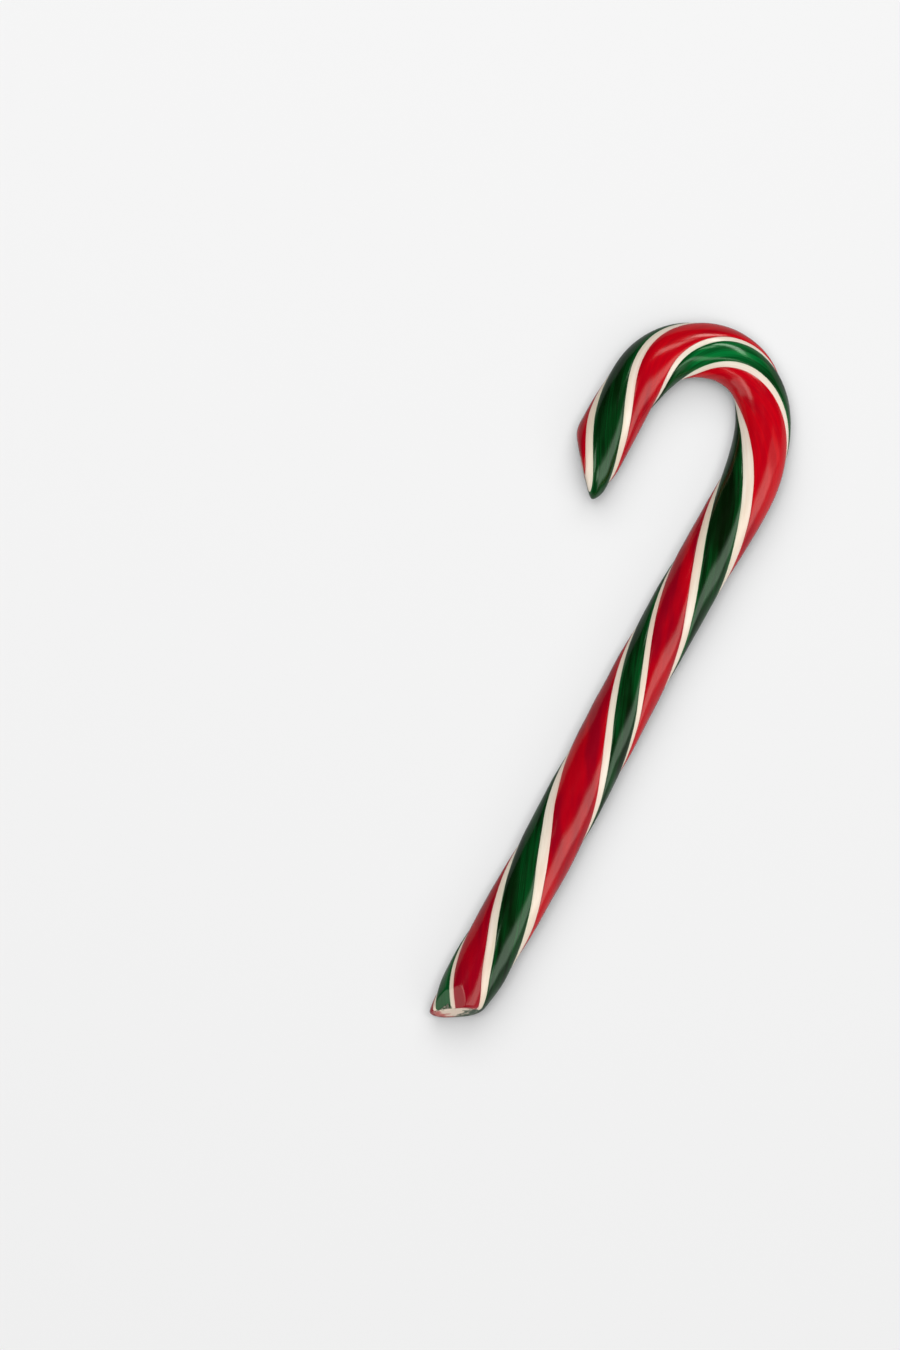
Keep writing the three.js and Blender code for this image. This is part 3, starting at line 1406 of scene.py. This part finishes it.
@dataclass(frozen=True)
class SugarMaterial:
    """Dresses one sugar: its own shader, fed by the shared groups."""

    finish: SugarFinish
    effects: SugarEffects

    def build(self) -> bpy.types.Material:
        """Builds the material.

        Returns:
            The material.
        """
        finish = self.finish
        material = bpy.data.materials.new(finish.sugar.value)
        material.use_nodes = True
        graph = Graph(material.node_tree)
        shader = material.node_tree.nodes["Principled BSDF"]
        pulled = graph.place(self.effects.pulled, strands=finish.strands, seed=finish.seed)
        broken = graph.share(graph.read("fold"), 0.0, BROKEN_FOLD, "SMOOTHSTEP")
        skin = graph.place(self.effects.skin, broken=broken)
        colour = self.colour(graph, pulled, broken)
        graph.feed(shader, "Base Color", colour)
        graph.feed(shader, "Roughness", skin["Dullness"] + finish.roughness)
        shader.inputs["Specular Tint"].default_value = (*finish.gleam, 1.0)
        height = skin["Height"] + pulled["Height"] * STRAND_HEIGHT
        sockets = {"Height": height, "Strength": 1.0, "Distance": SKIN_DEPTH}
        graph.feed(shader, "Normal", graph.add("ShaderNodeBump", sockets)["Normal"])
        return material

    def colour(self, graph: Graph, pulled: Node, broken: Term) -> Term:
        """Mixes the sugar's colour.

        Args:
            graph: The material's tree.
            pulled: The node of its strands and clouds.
            broken: The mask of the cut face.

        Returns:
            The colour.
        """
        finish = self.finish
        names = ("from", "full_from", "full_to", "to")
        # Painted glow: the crook is lightened in every sugar.
        bend = graph.place(self.effects.bend, **dict(zip(names, finish.stretch)))["Share"]
        edge = graph.place(
            self.effects.seam, distance=graph.read("edge"), line=SEAM_LINE, strip=SEAM_STRIP
        )
        # Painted shade: near the foot every sugar is darkened towards its deep colour.
        foot = graph.share(graph.read("distance"), *FOOT_PAINTED_SHADE, "SMOOTHSTEP")
        # The painted glow of the crook lifts the deep colour towards the body; the painted shade
        # near the foot pulls it back.
        cloud = graph.share(pulled["Cloud"] + bend * finish.glow - foot, 0.0, 1.0)
        colour = graph.mix(cloud, finish.deep, finish.body)
        lift = pulled["Strand"] * finish.streaks * graph.at_least(0.25, pulled["Cloud"])
        lift = lift + edge["Strip"] * finish.thinning * graph.at_least(0.35, pulled["Strand"])
        # Painted glow in the crook, towards the bright colour.
        lift = lift + bend * finish.glow * graph.at_least(0.3, pulled["Strand"])
        # Painted light on the narrow green stripe near the foot.
        if finish.sugar is Sugar.GREEN:
            narrow = graph.share(graph.read("band_angle"), *NARROW_GREEN_FROM)
            lift = lift + foot * narrow * NARROW_GREEN_PAINTED_LIGHT
        colour = graph.mix(graph.share(lift, 0.0, 1.0), colour, finish.bright)
        if finish.sugar is Sugar.WHITE:
            colour = self.stained(graph, colour)
        else:
            colour = graph.mix(edge["Line"] * SEAM_STRENGTH, colour, finish.seam)
        crushed = broken * graph.share(pulled["Strand"], *CRUSHED_RANGE)
        colour = graph.mix(crushed, colour, finish.crushed)
        return self.smeared(graph, colour) if finish.sugar is Sugar.WHITE else colour

    def stained(self, graph: Graph, colour: Term) -> Term:
        """Stains white sugar with what bled from the bands beside it.

        Args:
            graph: The material's tree.
            colour: The white.

        Returns:
            The stained white.
        """
        for stain in STAINS:
            distance = graph.read(stain.edge)
            seam = graph.place(
                self.effects.seam, distance=distance, line=STAIN_LINE, strip=STAIN_STRIP
            )
            share = seam["Strip"] * STAIN_STRIP_STRENGTH + seam["Line"] * STAIN_LINE_STRENGTH
            colour = graph.mix(share, colour, stain.colour)
        return colour

    def smeared(self, graph: Graph, colour: Term) -> Term:
        """Smears the colours of the bands over the white of the cut faces.

        Args:
            graph: The material's tree.
            colour: The white.

        Returns:
            The smeared white.
        """
        cut = graph.share(graph.read("fold"), 0.0, SMEARED_FOLD)
        for smear in SMEARS:
            node = graph.place(self.effects.smear, bearing=smear.bearing, reach=smear.reach)
            colour = graph.mix(node["Share"] * cut, colour, smear.colour)
        return colour


# --- The cane ------------------------------------------------------------------------------------


@dataclass
class CandyCane:
    """The whole cane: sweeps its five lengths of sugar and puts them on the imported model."""

    rope: Rope = field(default_factory=Rope)
    relief: Relief = field(default_factory=Relief)
    foot: ShearedEnd = FOOT
    tip: ShearedEnd = TIP
    facet: Facet = field(default_factory=Facet)
    bands: tuple[Band, ...] = BANDS

    def sizes(self) -> dict[str, float]:
        """Gathers the numbers that the tree asks for.

        Returns:
            The value of each of its inputs by name.
        """
        relief = self.relief
        found = {"Rope Length": self.rope.length, "Overrun": self.rope.overrun}
        for size in fields(relief):
            found[size.name.replace("_", " ").title()] = getattr(relief, size.name)
        for part, holder in (("Foot", self.foot), ("Tip", self.tip), ("Facet", self.facet)):
            for size in fields(holder):
                found[f"{part} {size.name.title()}"] = getattr(holder, size.name)
        return found

    def sweep(
        self,
        name: str,
        loop: list[SectionPoint],
        tree: bpy.types.NodeTree,
        helpers: dict[str, bpy.types.Object],
        material: bpy.types.Material,
    ) -> bpy.types.Object:
        """Sweeps one section and keeps the result as a plain mesh.

        Args:
            name: The piece's name.
            loop: The section.
            tree: The sweep tree.
            helpers: The objects that the tree reads, by input name.
            material: The piece's material.

        Returns:
            The piece.
        """
        source = point_cloud(name + "_section", loop, SECTION_NUMBERS)
        modifier = source.modifiers.new("sweep", "NODES")
        modifier.node_group = tree
        values = {**self.sizes(), **helpers, "Sugar": material}
        for item in tree.interface.items_tree:
            if item.in_out == "INPUT" and item.name in values:
                modifier[item.identifier] = values[item.name]
        evaluated = source.evaluated_get(bpy.context.evaluated_depsgraph_get())
        mesh = bpy.data.meshes.new_from_object(evaluated)
        mesh.name = name
        source.modifiers.remove(modifier)
        bpy.data.objects.remove(source)
        piece = bpy.data.objects.new(name, mesh)
        bpy.context.scene.collection.objects.link(piece)
        return piece

    def loops(self) -> dict[str, tuple[Sugar, list[SectionPoint]]]:
        """Draws the section of every length of sugar.

        Returns:
            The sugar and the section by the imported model's node.
        """
        maker = SectionMaker(self.relief, self.bands)
        drawn = {CORE: (Sugar.WHITE, maker.core_loop())}
        start = 0.0
        for band in self.bands:
            if band.sugar is not Sugar.WHITE:
                drawn[band.node] = (band.sugar, maker.stripe_loop(band, start))
            start += band.width
        return drawn

    def centre(self, pieces: list[bpy.types.Object], middle: Vector) -> None:
        """Moves the vertices of the pieces, all together, to lie round a point on the table.

        Args:
            pieces: The pieces.
            middle: The point. Its height isn't used.
        """
        corners = [vertex.co for piece in pieces for vertex in piece.data.vertices]
        built = [
            (min(corner[axis] for corner in corners) + max(corner[axis] for corner in corners)) / 2
            for axis in (0, 1)
        ]
        for piece in pieces:
            for vertex in piece.data.vertices:
                vertex.co.x += middle.x - built[0]
                vertex.co.y += middle.y - built[1]
            piece.data.update()

    def build(self) -> list[bpy.types.Object]:
        """Builds every length of sugar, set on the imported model's own place.

        Returns:
            The pieces.
        """
        low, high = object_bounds()
        tree = BandSweep().graph.tree
        effects = SugarEffects.build()
        materials = {look.sugar: SugarMaterial(look, effects).build() for look in FINISHES}
        maker = SectionMaker(self.relief, self.bands)
        rows = maker.rows(self.rope.length, self.foot, self.tip)
        helpers = {
            "Rows": point_cloud("rows", rows, ROW_NUMBERS),
            "Middle Line": self.rope.middle_line(),
        }
        built = {
            node: (self.sweep(node + "_sugar", loop, tree, helpers, materials[sugar]), sugar)
            for node, (sugar, loop) in self.loops().items()
        }
        for helper in helpers.values():
            bpy.data.objects.remove(helper)
        pieces = [piece for piece, _ in built.values()]
        self.centre(pieces, (low + high) / 2)
        for node, (piece, sugar) in built.items():
            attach(piece, BODY)
            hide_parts(node)
            LOG.info("%s: %d faces", piece.name, len(piece.data.polygons))
        return pieces


# --- Studio --------------------------------------------------------------------------------------


def grey(brightness: float) -> Colour:
    """Gives the grey of a brightness."""
    return (brightness, brightness, brightness)


@dataclass(frozen=True)
class Lamp:
    """A flat lamp that faces the cane."""

    name: str
    bearing: float  # direction it stands in, in degrees from the right of the view
    zenith: float  # how far from straight overhead it stands, in degrees
    width: float
    height: float
    brightness: float  # which stays the same when the lamp is made larger
    mirrored: bool  # whether gloss shows it
    on_table: bool  # whether it lights the table, or else the cane
    reach: float = 1.2  # how far away it stands, in metres, as its width and height are


LAMPS = (
    Lamp("table_overhead", 0.0, 0.0, 1.4, 1.4, 4.3, False, True, 2.4),
    Lamp("table_left", 120.0, 30.0, 2.6, 2.6, 0.82, False, True, 2.4),
    Lamp("table_far", 85.0, 30.0, 2.2, 2.2, 1.98, False, True, 2.4),
    Lamp("table_right", -35.0, 30.0, 2.6, 2.6, 0.61, False, True, 2.4),
    Lamp("cane_overhead", 0.0, 0.0, 1.6, 1.6, 0.57, False, False),
    Lamp("right_softbox", -33.0, 60.0, 0.9, 0.85, 2.5, True, False),
    Lamp("right_scrim", -33.0, 60.0, 1.15, 1.05, 1.0, True, False),
    Lamp("right_glow", -33.0, 60.0, 1.45, 1.3, 0.65, True, False),
    Lamp("near_softbox", -74.0, 38.0, 0.45, 0.36, 2.8, True, False),
    Lamp("left_panel", -158.0, 37.0, 0.6, 0.36, 3.8, True, False),
    Lamp("left_glow", -150.0, 68.0, 0.7, 0.9, 1.5, True, False),
    Lamp("far_panel", 66.0, 50.0, 0.58, 0.34, 8.5, True, False),
    Lamp("far_glow", 90.0, 29.0, 0.36, 0.3, 4.2, True, False),
)


@dataclass(frozen=True)
class Studio:
    """The camera above the table, the table and the lights. Lengths are in metres."""

    turn: float = 28.63  # how far the camera is turned about the vertical
    aim: tuple[float, float] = (-0.0216, -0.0148)  # the point under the camera
    frame_height: float = 0.3008  # how much of the table it sees, along the long side
    lens: float = 300.0
    sensor: float = 36.0
    focus_height: float = 0.006
    fade_from: float = 0.28  # distance at which the table starts to fade into the walls
    fade_to: float = 0.75  # distance at which it has faded away
    table_grey: float = 0.8
    mirrored_grey: float = 0.34  # of the table, where the cane's gloss shows it
    pale: float = 0.87  # of the walls, as the table is where it is lit
    wall_glow: float = 0.012  # light that the walls give
    lamps: tuple[Lamp, ...] = LAMPS

    def place_camera(self) -> None:
        """Hangs the camera straight above the cane, far off behind a long lens."""
        data = bpy.data.cameras.new("camera")
        data.lens = self.lens
        data.sensor_width = self.sensor
        camera = bpy.data.objects.new("camera", data)
        distance = self.frame_height * self.lens / self.sensor
        camera.location = (*self.aim, self.focus_height + distance)
        camera.rotation_euler = (0.0, 0.0, math.radians(self.turn))
        bpy.context.scene.collection.objects.link(camera)
        bpy.context.scene.camera = camera

    def lay_floor(self) -> bpy.types.Object:
        """Lays the pale table under the cane.

        Returns:
            The table.
        """
        mesh = bpy.data.meshes.new("table")
        half = self.fade_to
        corners = [(-half, -half, 0), (half, -half, 0), (half, half, 0), (-half, half, 0)]
        mesh.from_pydata(corners, [], [(0, 1, 2, 3)])
        floor = bpy.data.objects.new("table", mesh)
        material = bpy.data.materials.new("pale_table")
        material.use_nodes = True
        shader = material.node_tree.nodes["Principled BSDF"]
        graph = Graph(material.node_tree)
        mirrored = graph.add("ShaderNodeLightPath")["Is Glossy Ray"]
        greys = grey(self.table_grey), grey(self.mirrored_grey)
        graph.feed(shader, "Base Color", graph.mix(mirrored, *greys))
        place = graph.add("ShaderNodeTexCoord")["Object"]
        away = graph.add("ShaderNodeVectorMath", {0: place}, operation="LENGTH")["Value"]
        graph.feed(shader, "Alpha", graph.share(away, self.fade_to, self.fade_from, "SMOOTHSTEP"))
        graph.feed(shader, "Roughness", 1.0)
        graph.feed(shader, "Specular IOR Level", 0.0)
        mesh.materials.append(material)
        bpy.context.scene.collection.objects.link(floor)
        floor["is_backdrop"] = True
        return floor

    def light(self, floor: bpy.types.Object, pieces: list[bpy.types.Object]) -> None:
        """Lights the table and the cane, each by its own lamps.

        Args:
            floor: The table.
            pieces: The pieces of the cane.
        """
        lit = {}
        for on_table, name, objects in ((True, "lit_table", [floor]), (False, "lit_cane", pieces)):
            lit[on_table] = bpy.data.collections.new(name)
            for shown in objects:
                lit[on_table].objects.link(shown)
        for piece in pieces:
            piece.visible_diffuse = False  # so that no red glow falls on the table
        for lamp in self.lamps:
            self.hang(lamp, lit[lamp.on_table])
        self.surround()

    def hang(self, lamp: Lamp, lit: bpy.types.Collection) -> None:
        """Hangs one lamp, turned to the middle of the table.

        Args:
            lamp: The lamp.
            lit: What it lights.
        """
        bearing, zenith = math.radians(lamp.bearing + self.turn), math.radians(lamp.zenith)
        sideways = lamp.reach * math.sin(zenith)
        place = Vector(
            (
                sideways * math.cos(bearing),
                sideways * math.sin(bearing),
                lamp.reach * math.cos(zenith),
            )
        )
        data = bpy.data.lights.new(lamp.name, "AREA")
        data.shape = "RECTANGLE"
        data.size, data.size_y = lamp.width, lamp.height
        data.energy = lamp.brightness * math.pi * lamp.width * lamp.height
        # Rays that the table scatters pass through the cane, and would find an unseen lamp that
        # the cane hides. Without them such a lamp keeps its whole shadow.
        data.cycles.use_multiple_importance_sampling = lamp.mirrored
        holder = bpy.data.objects.new(lamp.name, data)
        holder.location = place
        holder.rotation_euler = (-place).to_track_quat("-Z", "Y").to_euler()
        holder.visible_glossy = lamp.mirrored
        holder.visible_camera = False
        holder.light_linking.receiver_collection = lit
        bpy.context.scene.collection.objects.link(holder)

    def surround(self) -> None:
        """Surrounds the studio with dim walls that the camera sees as pale."""
        world = bpy.data.worlds.new("studio")
        world.use_nodes = True
        graph = Graph(world.node_tree)
        seen = graph.add("ShaderNodeLightPath")["Is Camera Ray"]
        colour = graph.mix(seen, grey(self.wall_glow), grey(self.pale))
        graph.feed(world.node_tree.nodes["Background"], "Color", colour)
        bpy.context.scene.world = world


def main() -> None:
    """Builds the cane and its studio."""
    logging.basicConfig(level=logging.INFO)
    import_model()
    studio = Studio()
    studio.place_camera()
    pieces = CandyCane().build()
    studio.light(studio.lay_floor(), pieces)
    bpy.context.scene.view_settings.view_transform = "Standard"


if __name__ == "__main__":
    main()
